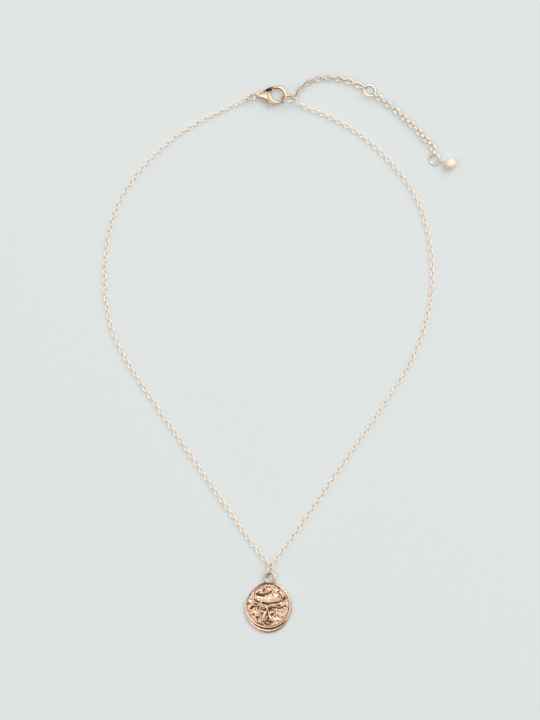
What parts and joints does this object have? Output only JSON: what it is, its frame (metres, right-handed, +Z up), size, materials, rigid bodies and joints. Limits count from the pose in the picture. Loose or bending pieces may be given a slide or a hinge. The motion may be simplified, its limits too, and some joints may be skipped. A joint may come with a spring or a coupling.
{
  "type": "zodiac necklace",
  "caption": "Rose-gold coin necklace with a bull's head pendant, fine cable chain, lobster clasp and extender chain with a ball, lying flat",
  "frame": {"origin": "on the floor, 86.0 mm below the clasp hook's centre along Y and 0.87 mm beside it, near the middle of the loop", "axes": "X across the loop, Y along it from the pendant to the clasp, Z up from the surface it lies on"},
  "size_m": [0.1178, 0.1859, 0.0044],
  "materials": {
    "cast_gold": "satin",
    "wire_gold": "polished"
  },
  "bodies": {
    "necklace": {"catch_ring": "wire_gold", "chain_left": "wire_gold", "chain_link_catch": "wire_gold", "chain_link_clasp": "wire_gold", "chain_link_pendant_left": "wire_gold", "chain_link_pendant_right": "wire_gold", "chain_right": "wire_gold", "clasp_body": "cast_gold", "clasp_pin": "wire_gold", "clasp_ring": "wire_gold", "drop_ball": "wire_gold", "drop_link": "wire_gold", "end_ring": "wire_gold", "extender_link_01": "wire_gold", "extender_link_02": "wire_gold", "extender_link_03": "wire_gold", "extender_link_04": "wire_gold", "extender_link_05": "wire_gold", "extender_link_06": "wire_gold", "extender_link_07": "wire_gold", "extender_link_08": "wire_gold", "extender_link_09": "wire_gold", "extender_link_10": "wire_gold", "extender_link_11": "wire_gold", "extender_link_12": "wire_gold", "extender_link_13": "wire_gold", "extender_link_14": "wire_gold", "extender_link_15": "wire_gold", "extender_link_16": "wire_gold", "extender_link_17": "wire_gold", "extender_link_18": "wire_gold", "extender_link_19": "wire_gold", "extender_link_20": "wire_gold", "extender_link_21": "wire_gold", "extender_link_22": "wire_gold", "extender_link_23": "wire_gold", "extender_link_24": "wire_gold", "extender_link_25": "wire_gold", "extender_link_26": "wire_gold", "extender_link_27": "wire_gold", "extender_link_28": "wire_gold", "extender_link_29": "wire_gold", "extender_link_30": "wire_gold", "extender_link_31": "wire_gold", "extender_link_32": "wire_gold", "extender_link_33": "wire_gold", "extender_ring": "wire_gold", "pendant": "cast_gold", "pendant_ring": "wire_gold"},
    "lever": {"clasp_lever": "cast_gold"}
  },
  "joints": [
    {"name": "lever_hinge", "type": "hinge", "parent": "necklace", "child": "lever", "pos_m": [-0.00446, 0.08477, 0.0015], "axis": [0, 0, 1], "range_deg": [0, 10], "stiffness_Nm_per_rad": 0.005, "springref_deg": -11.46}
  ]
}
